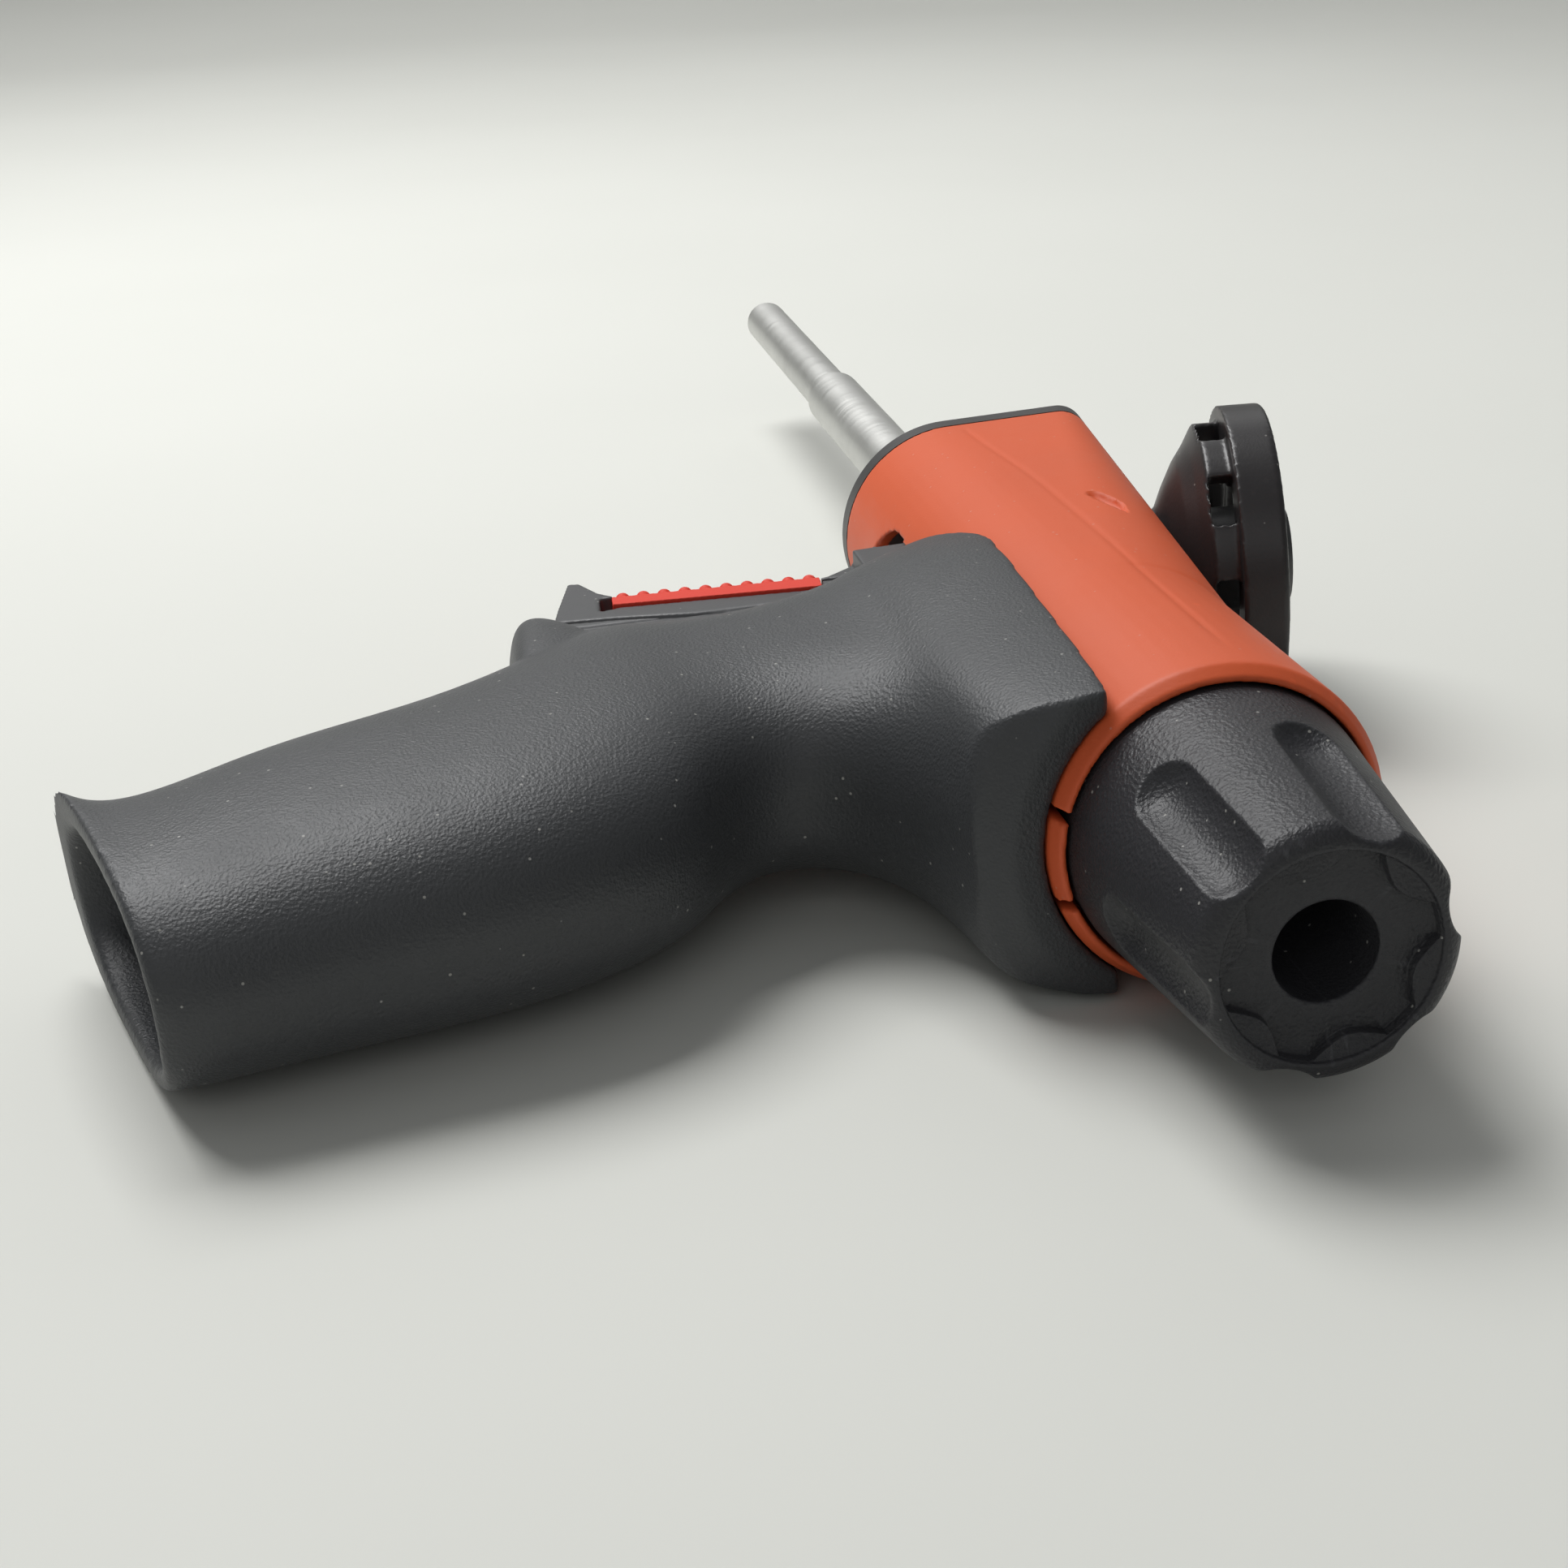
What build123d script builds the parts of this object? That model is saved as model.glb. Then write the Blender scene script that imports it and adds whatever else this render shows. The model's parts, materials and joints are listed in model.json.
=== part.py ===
"""Foam dispensing gun for screw-on polyurethane foam cans, lying on its right side.

Every length is in millimetres.  While the parts are built, the barrel axis is the
X axis, the nozzle points to -X, the can adapter points to +Y, the grip to -Y and the
gun's left side is up (+Z).  A "station" is a distance measured forward from the rear
rim of the knob, so station s lies at x = -s.  The last step moves everything so that
the origin is the middle of the bounding box's underside.
"""

import math
import os

from build123d import *

# ---------------------------------------------------------------- driving dimensions
# Housing sleeve: flat roofed at the front, round at the rear.
HOUSING_FRONT = 163.6
HOUSING_ROUND = 78.0
HOUSING_REAR = 34.0
HALF_WIDTH_FRONT = 18.5
HALF_WIDTH_ROUND = 20.7
HALF_WIDTH_REAR = 21.4
ROOF_FRONT = 24.5
ROOF_CORNER = 5.0
HOUSING_WALL = 2.2
COLLAR_BORE = 19.4
COLLAR_CHAMFER = 1.3
CAP_FRONT = 167.4

# Barrel line.
BARREL_RADIUS = 5.6
BARREL_BORE = 3.6
BARREL_REAR = 149.0
BARREL_STEP = 262.0
NOZZLE_RADIUS = 4.6
NOZZLE_BORE = 2.9
NOZZLE_TIP = 343.0
NOZZLE_MOUTH = 1.6
NEEDLE_RADIUS = 1.6
NEEDLE_REAR = 62.0

# Trigger.
PIVOT = (120.0, 12.0)
PIVOT_PIN_RADIUS = 2.0
CHEEK_INNER = 8.2
CHEEK_OUTER = 10.4
LEVER_HALF_WIDTH = 8.0

# Can adapter, whose axis leans back from the vertical.
ADAPTER_TILT = 12.5
ADAPTER_TOP = (129.9, 42.5)
RING_RADIUS = 24.0
RING_HEIGHT = 6.8
SOCKET_RADIUS = 18.6

# Knob.
KNOB_FRONT_RADIUS = 19.0
KNOB_REAR_RADIUS = 15.4
KNOB_LENGTH = 34.0
FLUTE_COUNT = 6

# Gaps.
RUNNING = 0.05
SLIP = 0.15
HOUSING_GAP = 0.25

# ---------------------------------------------------------------- details
# Slits beside the collar's snap tab, as angles about the barrel from straight below.
SNAP_TAB_SLITS = (-15.5, 18.5)

# Adapter basket, with heights measured from the ring's top face.
WALL_RADIUS = 21.5
WINDOW_FLOOR = -10.6
WINDOW_COUNT = 8
WINDOW_WIDTH = 8.2
WINDOW_PHASE = 46.75
PILOT_DEPTH = 4.2
THREAD_RADIUS = 17.6
BOSS_TOP = -24.0
STEM_RADIUS = 5.0
STEM_BORE = 2.4
STEM_TOP = 3.0
STEM_FOOT = -34.0
BALL_RADIUS = 3.0
BALL_HEIGHT = -0.6
SPRING_FOOT = -12.0

# Valve body.
BODY_FRONT = 162.0
GLAND_REAR = 125.0
GLAND_THREAD = 5.5
PACKING_RADIUS = 4.5
RAIL_INNER = 11.6
RAIL_OUTER = 14.6
GUIDE_REAR = 47.0
GUIDE_WALL = 63.0
GUIDE_FRONT = 66.0

# Needle.
NEEDLE_FRONT = 328.0
SEAT_REAR = 338.0
COLLAR_REAR = 112.6
COLLAR_FRONT = 117.1
SPRING_SEAT_FRONT = 67.0

# Knob, adjusting screw and stop nut.
KNOB_SKIRT = 42.0
RECESS_DEPTH = 1.8
RECESS_RADIUS = 12.6
KNOB_BORE = 6.1
KNOB_BORE_DEPTH = 22.0
FLUTE_RADIUS = 5.2
FLUTE_LENGTH = 17.0
FLUTE_MIDDLE = 12.5
FLUTE_DEPTH = 2.0
FLUTE_PHASE = 41.0
SCREW_RADIUS = 4.0
SCREW_FRONT = 52.5
STOP_NUT_FLAT = 12.0
STOP_NUT_REAR = 44.4
STOP_NUT_FRONT = 56.0

# Trigger outlines as (station, height) pairs.
STUD_RADIUS = 1.8
LEVER_OUTLINE = [
    (116.0, -16.0),
    (134.0, -16.0),
    (139.0, -19.0),
    (131.0, -24.0),
    (127.3, -29.0),
    (132.2, -60.8),
    (135.2, -63.2),
    (141.0, -65.5),
    (141.5, -67.3),
    (130.0, -70.0),
    (122.0, -71.6),
    (110.0, -67.0),
    (105.5, -50.0),
    (110.5, -33.0),
]
CHEEK_OUTLINE = [
    (115.5, 12.0),
    (124.5, 12.0),
    (126.0, 0.0),
    (131.0, -15.0),
    (130.0, -22.0),
    (116.0, -22.0),
    (114.8, -10.0),
]
PAD_HALF_WIDTH = 8.4
PAD_POCKET = [(122.0, -30.4), (136.0, -28.9), (139.0, -60.6), (127.2, -61.9)]
PAD_OUTLINE = [(122.2, -30.6), (127.8, -30.1), (132.5, -61.1), (127.4, -61.6)]
PAD_FACE = ((127.6, -30.2), (132.3, -60.9))
PAD_CORE = [(118.0, -27.0), (126.0, -27.0), (130.9, -63.5), (120.0, -63.5)]
PAD_CORE_HALF_WIDTH = 5.0
NUB_ROWS = 10
NUB_COLUMNS = (-7.2, -4.3, -1.45, 1.45, 4.3, 7.2)
NUB_RADIUS = 1.3
GROOVE_OUTLINE = [(117.2, -34.0), (118.2, -34.0), (120.6, -70.0), (119.6, -70.0)]

# Grip sections: station, height, tilt, half depth, half width, roundness.
SECTION_POINTS = 20
GRIP_STATIONS = [
    (67.0, -7.0, 0.0, 53.0, 19.6, 4.0),
    (67.0, -17.0, 0.0, 53.0, 20.5, 3.8),
    (71.0, -26.0, 0.0, 48.0, 18.6, 3.3),
    (84.5, -35.0, 0.0, 31.5, 15.8, 2.8),
    (87.1, -47.0, 0.0, 25.1, 15.0, 2.6),
    (82.9, -62.0, 3.0, 31.9, 15.8, 2.5),
    (70.0, -80.0, 6.0, 31.3, 16.3, 2.5),
    (62.9, -97.0, 10.0, 28.9, 15.9, 2.5),
    (57.2, -115.0, 12.0, 27.2, 15.0, 2.4),
    (53.5, -127.0, 14.0, 25.8, 14.2, 2.5),
    (57.0, -133.9, 15.2, 28.8, 14.8, 2.7),
]
HOLLOW_STATIONS = GRIP_STATIONS[3:-1] + [(56.5, -138.5, 15.2, 27.5, 14.0, 2.9)]
GRIP_WALL = 2.8
SADDLE_REAR = 35.6
SADDLE_FRONT = 122.0
SADDLE_THICKNESS = 1.7
# Rear end of the saddle, as (station, radius) pairs about the barrel.
SADDLE_END = [
    (SADDLE_REAR, 0),
    (SADDLE_REAR, 25.5),
    (38.0, 30.0),
    (43.0, 34.5),
    (10.0, 60.0),
    (10.0, 200.0),
    (230.0, 200.0),
    (230.0, 0),
]
# Sections of the finger rest that stands out of the grip's front, as for the grip.
REST_STATIONS = [
    (89.0, -57.5, 2.0, 21.0, 12.0, 2.5),
    (93.6, -67.5, 3.0, 24.8, 13.6, 2.5),
    (97.3, -72.6, 4.0, 27.4, 14.2, 2.6),
    (87.0, -77.3, 6.0, 21.6, 13.8, 2.5),
    (77.0, -82.0, 7.0, 18.0, 13.2, 2.5),
]
ABOVE_SADDLE = [
    (20.0, -13.5),
    (36.0, -13.0),
    (100.0, -10.2),
    (104.0, -11.4),
    (114.5, -18.5),
    (116.5, -24.0),
    (140.0, -24.0),
    (140.0, 40.0),
    (20.0, 40.0),
]
GRIP_SCREW_STATION = 72.0
SCREW_HEAD_TOP = -35.2


# ---------------------------------------------------------------- construction helpers
def blend(a, b, t):
    """Value a part of the way t from a to b."""
    return a + (b - a) * t


def side_points(points):
    """Turn (station, height) pairs into X, Y points."""
    return [(-s, y) for s, y in points]


def turned(profile):
    """Revolve a closed (station, radius) profile about the barrel axis."""
    face = make_face(Polyline(*side_points(profile), close=True))
    return revolve(face, Axis.X, 360)


def rod(s0, s1, radius):
    """Solid bar on the barrel axis."""
    return turned([(s0, 0), (s0, radius), (s1, radius), (s1, 0)])


def tube(s0, s1, outer, inner):
    """Hollow bar on the barrel axis."""
    return turned([(s0, inner), (s0, outer), (s1, outer), (s1, inner)])


def plate(points, z0, z1):
    """Plate with a (station, height) outline between two heights above the axis."""
    face = make_face(Polyline(*side_points(points), close=True))
    return Pos(0, 0, z0) * extrude(face, z1 - z0)


def block(s0, s1, y0, y1, z0, z1):
    """Rectangular block given by its limits."""
    centre = Pos(-(s0 + s1) / 2, (y0 + y1) / 2, (z0 + z1) / 2)
    return centre * Box(abs(s1 - s0), abs(y1 - y0), abs(z1 - z0))


def cross_bar(s, y, radius, z0, z1):
    """Bar parallel to Z."""
    return Pos(-s, y, (z0 + z1) / 2) * Cylinder(radius, z1 - z0)


def upright(s, radius, y0, y1):
    """Bar parallel to Y."""
    return Pos(-s, (y0 + y1) / 2, 0) * Rot(90, 0, 0) * Cylinder(radius, abs(y1 - y0))


def coil_spring(length, coil_radius, wire_radius, turns):
    """Compression spring along +Z from z = 0, with its wire inside that length."""
    rise = length - 2 * wire_radius
    path = Helix(pitch=rise / turns, height=rise, radius=coil_radius)
    section = Plane(origin=path @ 0, z_dir=path % 0) * Circle(wire_radius)
    return Pos(0, 0, wire_radius) * sweep(section, path=path, is_frenet=True)


# ---------------------------------------------------------------- housing
def u_section(s, half_width, roof, corner):
    """Cross-section: a half circle below, flat sides and a flat roof with round corners."""
    shoulder = roof - corner
    inner = half_width - corner
    bulge = corner * math.sqrt(0.5)
    outline = [
        ThreePointArc((0, half_width), (-half_width, 0), (0, -half_width)),
        Line((0, -half_width), (shoulder, -half_width)),
        ThreePointArc(
            (shoulder, -half_width),
            (shoulder + bulge, -inner - bulge),
            (roof, -inner),
        ),
        Line((roof, -inner), (roof, inner)),
        ThreePointArc((roof, inner), (shoulder + bulge, inner + bulge), (shoulder, half_width)),
        Line((shoulder, half_width), (0, half_width)),
    ]
    plane = Plane(origin=(-s, 0, 0), x_dir=(0, 1, 0), z_dir=(1, 0, 0))
    return plane * make_face(outline)


def housing_half_width(s):
    """Half width of the housing's outside at a station."""
    if s > HOUSING_ROUND:
        t = (s - HOUSING_ROUND) / (CAP_FRONT - HOUSING_ROUND)
        return blend(HALF_WIDTH_ROUND, HALF_WIDTH_FRONT, t)
    t = (s - HOUSING_REAR) / (HOUSING_ROUND - HOUSING_REAR)
    return blend(HALF_WIDTH_REAR, HALF_WIDTH_ROUND, t)


def housing_roof(s):
    """Height of the housing's roof at a station in front of the round part."""
    t = (s - HOUSING_ROUND) / (CAP_FRONT - HOUSING_ROUND)
    return blend(HALF_WIDTH_ROUND, ROOF_FRONT, t)


def housing_corner(s):
    """Radius of the roof's corners at a station in front of the round part."""
    t = (s - HOUSING_ROUND) / (CAP_FRONT - HOUSING_ROUND)
    return blend(HALF_WIDTH_ROUND - 0.6, ROOF_CORNER, t)


def housing_section(s, offset):
    """The housing's cross-section at a station, grown by an offset."""
    corner = max(housing_corner(s) + offset, 1.0)
    return u_section(s, housing_half_width(s) + offset, housing_roof(s) + offset, corner)


def housing_front_solid(s_front, s_rear, offset):
    """The part of the housing between two stations in front of the round part."""
    sections = [housing_section(s_rear, offset), housing_section(s_front, offset)]
    return loft(sections, ruled=True)


def housing_outer(offset=0.0, rear=HOUSING_REAR):
    """Outside of the housing as one solid, grown by an offset."""
    chamfer_start = HOUSING_REAR + 1.6 * COLLAR_CHAMFER
    r_round = HALF_WIDTH_ROUND + offset
    r_rear = housing_half_width(chamfer_start) + offset
    r_end = HALF_WIDTH_REAR - COLLAR_CHAMFER + offset
    back = turned(
        [
            (HOUSING_ROUND, 0),
            (HOUSING_ROUND, r_round),
            (chamfer_start, r_rear),
            (rear, r_end),
            (rear, 0),
        ]
    )
    return housing_front_solid(HOUSING_FRONT, HOUSING_ROUND, offset) + back


def trigger_opening():
    """Opening in the housing's underside, rounded at its front end."""
    slot = block(96, 134, -30, -5, -10.8, 10.8)
    nose = upright(134, 10.8, -30, -5)
    return slot + nose


def make_housing():
    """Red sleeve with a round collar at the rear, slit beside its snap tab."""
    body = housing_outer()
    body -= housing_front_solid(HOUSING_FRONT + 1, HOUSING_ROUND, -HOUSING_WALL)
    body -= tube(HOUSING_REAR + 9, HOUSING_ROUND + 0.1, HALF_WIDTH_ROUND - HOUSING_WALL, 0)
    body -= rod(HOUSING_REAR - 1, HOUSING_REAR + 9.1, COLLAR_BORE)
    body -= trigger_opening()
    body -= upright(72, 2.8, -30, 0)
    body -= adapter_rod(-45, 0, 9.4)
    for angle in SNAP_TAB_SLITS:
        slit = Pos(-(HOUSING_REAR + 4), -COLLAR_BORE - 1, 0) * Box(9, 6, 1.3)
        body -= Rot(angle, 0, 0) * slit
    return body


def make_front_cap():
    """Dark cap that closes the housing's front end around the barrel."""
    rim = housing_front_solid(CAP_FRONT, HOUSING_FRONT + 0.05, 0.0)
    plug = housing_front_solid(HOUSING_FRONT + 0.1, HOUSING_FRONT - 5, -HOUSING_WALL - SLIP)
    hollow = housing_front_solid(HOUSING_FRONT - 0.5, HOUSING_FRONT - 6, -HOUSING_WALL - 2)
    cap = rim + (plug - hollow)
    return cap - rod(HOUSING_FRONT - 10, CAP_FRONT + 1, BARREL_RADIUS + SLIP)


# ---------------------------------------------------------------- can adapter
def adapter_frame(shape):
    """Place a shape made about Z, its zero at the ring's top face, on the adapter's axis."""
    s, y = ADAPTER_TOP
    return Pos(-s, y, 0) * Rot(0, 0, -ADAPTER_TILT) * Rot(-90, 0, 0) * shape


def adapter_turned(profile):
    """Revolve a closed (height, radius) profile about the adapter's axis."""
    face = Plane.XZ * make_face(Polyline(*[(r, h) for h, r in profile], close=True))
    return adapter_frame(revolve(face, Axis.Z, 360))


def adapter_rod(h0, h1, outer, inner=0.0):
    """Bar or tube on the adapter's axis."""
    return adapter_turned([(h0, inner), (h0, outer), (h1, outer), (h1, inner)])


def make_adapter():
    """Black basket: a funnel, a pierced wall and the ring that takes the can."""
    basket = adapter_turned(
        [
            (BOSS_TOP, STEM_RADIUS + SLIP),
            (BOSS_TOP, 8.6),
            (-17.4, 8.6),
            (-16.0, 12.0),
            (-14.0, 16.0),
            (-12.2, 18.6),
            (WINDOW_FLOOR, WALL_RADIUS),
            (-RING_HEIGHT, WALL_RADIUS),
            (-RING_HEIGHT, RING_RADIUS),
            (-0.5, RING_RADIUS),
            (0, RING_RADIUS - 0.5),
            (0, SOCKET_RADIUS),
            (-PILOT_DEPTH, SOCKET_RADIUS),
            (-PILOT_DEPTH, THREAD_RADIUS),
            (-7.5, THREAD_RADIUS),
            (-7.5, SOCKET_RADIUS),
            (WINDOW_FLOOR, SOCKET_RADIUS),
            (-13.2, 9.0),
            (-13.2, STEM_RADIUS + SLIP),
        ]
    )
    step = 360 / WINDOW_COUNT
    window = Pos(WALL_RADIUS, 0, -(RING_HEIGHT + 10.6) / 2) * Box(9, WINDOW_WIDTH, 10.6 - RING_HEIGHT)
    for i in range(WINDOW_COUNT):
        basket -= adapter_frame(Rot(0, 0, WINDOW_PHASE + i * step) * window)
    return basket


def make_inlet_stem():
    """Brass stem that clamps the basket to the valve body and carries the ball valve."""
    return adapter_turned(
        [
            (STEM_FOOT, STEM_BORE),
            (STEM_FOOT, STEM_RADIUS),
            (-13.0, STEM_RADIUS),
            (-13.0, 8.2),
            (STEM_TOP - 1, 8.2),
            (STEM_TOP, 7.2),
            (STEM_TOP, 3.6),
            (STEM_TOP - 1.6, 2.6),
            (STEM_TOP - 2.0, BALL_RADIUS + 0.1),
            (SPRING_FOOT, BALL_RADIUS + 0.1),
            (SPRING_FOOT, STEM_BORE),
        ]
    )


def make_can_gasket():
    """Flat ring that seals the basket's foot on the valve body."""
    return adapter_rod(BOSS_TOP - 1.0, BOSS_TOP - 0.02, 8.4, STEM_RADIUS + 0.1)


def make_check_ball():
    """Steel ball that shuts the stem when no can is fitted."""
    return adapter_frame(Pos(0, 0, BALL_HEIGHT) * Sphere(BALL_RADIUS))


def make_check_spring():
    """Spring that holds the check ball against the mouth of the stem."""
    length = BALL_HEIGHT - 2.3 - SPRING_FOOT
    return adapter_frame(Pos(0, 0, SPRING_FOOT) * coil_spring(length, 2.2, 0.3, 6))


# ---------------------------------------------------------------- valve body and barrel
def make_valve_body():
    """Casting that carries the barrel, the packing, the trigger pivot and the rear guide."""
    front = turned(
        [
            (GLAND_REAR, 0),
            (GLAND_REAR, 7.5),
            (130.5, 7.5),
            (130.5, 11.5),
            (151.0, 11.5),
            (151.0, 15.4),
            (155.0, 15.4),
            (155.0, 10.5),
            (BODY_FRONT, 10.5),
            (BODY_FRONT, 0),
        ]
    )
    s, y = PIVOT
    lug = block(s - 5, s + 5.5, 6.6, y + 5.5, -7.4, 7.4) + block(s + 5, 136, 6.6, 12.5, -7.4, 7.4)
    rails = block(64, 152, -4, 4, RAIL_INNER, RAIL_OUTER)
    rails += block(64, 152, -4, 4, -RAIL_OUTER, -RAIL_INNER)
    shoulder = block(131, 152, -4, 4, -RAIL_OUTER, RAIL_OUTER)
    guide = rod(GUIDE_REAR, GUIDE_FRONT, 15.2)
    saddle = block(64, 80, -17.2, -9, -5.5, 5.5) + block(64, 80, -10.5, -7.5, -RAIL_OUTER, RAIL_OUTER)
    saddle += block(64, 80, -10.5, 0, RAIL_INNER, RAIL_OUTER)
    saddle += block(64, 80, -10.5, 0, -RAIL_OUTER, -RAIL_INNER)
    boss = adapter_rod(BOSS_TOP - 1.02, -38, 8.8)
    body = front + lug + shoulder + rails + guide + saddle + boss
    body -= rod(127.9, 134.2, PACKING_RADIUS + 0.02)
    body -= rod(GLAND_REAR - 0.1, 128, GLAND_THREAD)
    body -= rod(134, 150, 4.6)
    body -= rod(BARREL_REAR, BODY_FRONT + 1, BARREL_RADIUS)
    body -= adapter_rod(BOSS_TOP, STEM_FOOT, STEM_RADIUS)
    body -= adapter_rod(BOSS_TOP, -43.5, STEM_BORE)
    body -= cross_bar(s, y, PIVOT_PIN_RADIUS, -20, 20)
    body -= hexagon(GUIDE_REAR - 1, GUIDE_WALL, STOP_NUT_FLAT + 2 * SLIP)
    body -= rod(GUIDE_WALL - 1, GUIDE_FRONT + 1, NEEDLE_RADIUS + RUNNING)
    body -= upright(GRIP_SCREW_STATION, 2.5, -18, -9.2)
    return body


def hexagon(s0, s1, across_flats):
    """Hexagonal bar on the barrel axis."""
    outline = RegularPolygon(across_flats / 2, 6, major_radius=False)
    plane = Plane(origin=(-s1, 0, 0), x_dir=(0, 1, 0), z_dir=(1, 0, 0))
    return extrude(plane * outline, s1 - s0)


def make_barrel_tube():
    """Thick rear tube of the barrel."""
    return tube(BARREL_REAR, BARREL_STEP, BARREL_RADIUS, BARREL_BORE)


def make_nozzle_tube():
    """Thin front tube, pressed into the thick one, with a rounded tip and a needle seat."""
    return turned(
        [
            (BARREL_STEP - 14, NOZZLE_BORE),
            (BARREL_STEP - 14, BARREL_BORE),
            (BARREL_STEP + 0.05, BARREL_BORE),
            (BARREL_STEP + 0.05, NOZZLE_RADIUS),
            (NOZZLE_TIP - 2.6, NOZZLE_RADIUS),
            (NOZZLE_TIP - 0.8, NOZZLE_RADIUS - 0.7),
            (NOZZLE_TIP, NOZZLE_RADIUS - 2.0),
            (NOZZLE_TIP, NOZZLE_MOUTH),
            (NOZZLE_TIP - 1.5, NOZZLE_MOUTH),
            (SEAT_REAR, NOZZLE_BORE),
        ]
    )


def make_needle_rod():
    """Long rod that opens and shuts the nozzle."""
    return rod(NEEDLE_REAR, NEEDLE_FRONT, NEEDLE_RADIUS)


def make_needle_tip():
    """Cone that seals on the nozzle's seat."""
    return turned(
        [
            (NEEDLE_FRONT + 0.02, 0),
            (NEEDLE_FRONT + 0.02, 2.2),
            (SEAT_REAR - 0.4, 2.2),
            (NOZZLE_TIP - 2.2, 1.2),
            (NOZZLE_TIP - 2.2, 0),
        ]
    )


def make_needle_collar():
    """Collar on the needle rod that the trigger pushes back."""
    return tube(COLLAR_REAR, COLLAR_FRONT, 6.0, NEEDLE_RADIUS)


def make_needle_spring():
    """Return spring between the rear guide and the needle collar."""
    length = COLLAR_REAR - SPRING_SEAT_FRONT - 0.1
    spring = coil_spring(length, 3.9, 0.55, 14)
    return Pos(-SPRING_SEAT_FRONT - 0.05, 0, 0) * Rot(0, -90, 0) * spring


def make_spring_seat():
    """Washer between the return spring and the rear guide."""
    return tube(GUIDE_FRONT + 0.02, SPRING_SEAT_FRONT, 5.5, NEEDLE_RADIUS + 0.3)


def make_packing_rings():
    """Three rings that seal the needle rod."""
    rings = Part()
    for i in range(3):
        start = 128.0 + i * 2.0
        rings += tube(start, start + 1.9, PACKING_RADIUS, NEEDLE_RADIUS + 0.02)
    return rings


def make_gland_nut():
    """Hexagonal nut that squeezes the packing."""
    nut = rod(GLAND_REAR, 127.9, GLAND_THREAD - 0.02) + hexagon(123.2, GLAND_REAR - 0.05, 9.0)
    nut += rod(GLAND_REAR - 1, GLAND_REAR + 1, GLAND_THREAD - 0.02)
    return nut - rod(120, 130, NEEDLE_RADIUS + 0.1)


# ---------------------------------------------------------------- rear adjuster
def make_knob():
    """Fluted, slightly conical knob with a skirt that turns inside the housing's collar."""
    knob = turned(
        [
            (RECESS_DEPTH, 0),
            (RECESS_DEPTH, RECESS_RADIUS),
            (0, RECESS_RADIUS + 0.4),
            (0, KNOB_REAR_RADIUS - 1.0),
            (1.0, KNOB_REAR_RADIUS),
            (KNOB_LENGTH, KNOB_FRONT_RADIUS),
            (KNOB_SKIRT, KNOB_FRONT_RADIUS),
            (KNOB_SKIRT, 16.2),
            (8.0, 12.0),
            (8.0, 9.0),
            (30.0, 9.0),
            (30.0, 0),
        ]
    )
    knob -= rod(0, KNOB_BORE_DEPTH, KNOB_BORE)
    knob -= rod(KNOB_BORE_DEPTH - 0.1, 31, SCREW_RADIUS)
    for i in range(FLUTE_COUNT):
        knob -= Rot(FLUTE_PHASE + i * 360 / FLUTE_COUNT, 0, 0) * flute_cutter()
    return knob


def flute_cutter():
    """Round-ended cutter that lies along the knob's conical side."""
    slope = math.degrees(math.atan2(KNOB_FRONT_RADIUS - KNOB_REAR_RADIUS, KNOB_LENGTH))
    cutter = Rot(0, 90, 0) * Cylinder(FLUTE_RADIUS, FLUTE_LENGTH)
    cutter += Pos(-FLUTE_LENGTH / 2, 0, 0) * Sphere(FLUTE_RADIUS)
    cutter += Pos(FLUTE_LENGTH / 2, 0, 0) * Sphere(FLUTE_RADIUS)
    middle = blend(KNOB_REAR_RADIUS, KNOB_FRONT_RADIUS, FLUTE_MIDDLE / KNOB_LENGTH)
    height = middle + FLUTE_RADIUS - FLUTE_DEPTH
    return Pos(-FLUTE_MIDDLE, 0, height) * Rot(0, slope, 0) * cutter


def make_adjusting_screw():
    """Threaded stud fixed in the knob."""
    return rod(KNOB_BORE_DEPTH, SCREW_FRONT, SCREW_RADIUS - 0.02)


def make_stop_nut():
    """Nut that cannot turn, so the knob drives it along to limit the needle's travel."""
    nut = hexagon(STOP_NUT_REAR, STOP_NUT_FRONT, STOP_NUT_FLAT)
    return nut - rod(STOP_NUT_REAR - 1, STOP_NUT_FRONT - 3, SCREW_RADIUS + RUNNING)


# ---------------------------------------------------------------- trigger
def make_trigger_lever():
    """Two cheeks on the pivot pin, joined below the housing by the finger lever."""
    lever = plate(LEVER_OUTLINE, -LEVER_HALF_WIDTH, LEVER_HALF_WIDTH)
    lever -= block(100, 141, -13, -5, -7.8, 7.8)
    s, y = PIVOT
    for z0, z1 in ((CHEEK_INNER, CHEEK_OUTER), (-CHEEK_OUTER, -CHEEK_INNER)):
        lever += plate(CHEEK_OUTLINE, z0, z1)
        lever += cross_bar(s, y, 5.2, z0, z1)
    for z0, z1 in ((NEEDLE_RADIUS + 1.0, CHEEK_INNER), (-CHEEK_INNER, -NEEDLE_RADIUS - 1.0)):
        lever += cross_bar(s - 1.0, 0, STUD_RADIUS, z0, z1)
    lever += block(116, 131, -24, -15, -CHEEK_OUTER, CHEEK_OUTER)
    core = plate(PAD_CORE, -PAD_CORE_HALF_WIDTH, PAD_CORE_HALF_WIDTH)
    lever -= plate(PAD_POCKET, -PAD_HALF_WIDTH - 0.1, PAD_HALF_WIDTH + 0.1) - core
    lever -= cross_bar(s, y, PIVOT_PIN_RADIUS + RUNNING, -20, 20)
    groove = plate(GROOVE_OUTLINE, LEVER_HALF_WIDTH - 0.5, LEVER_HALF_WIDTH + 1)
    return lever - groove - mirror(groove, Plane.XY)


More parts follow.
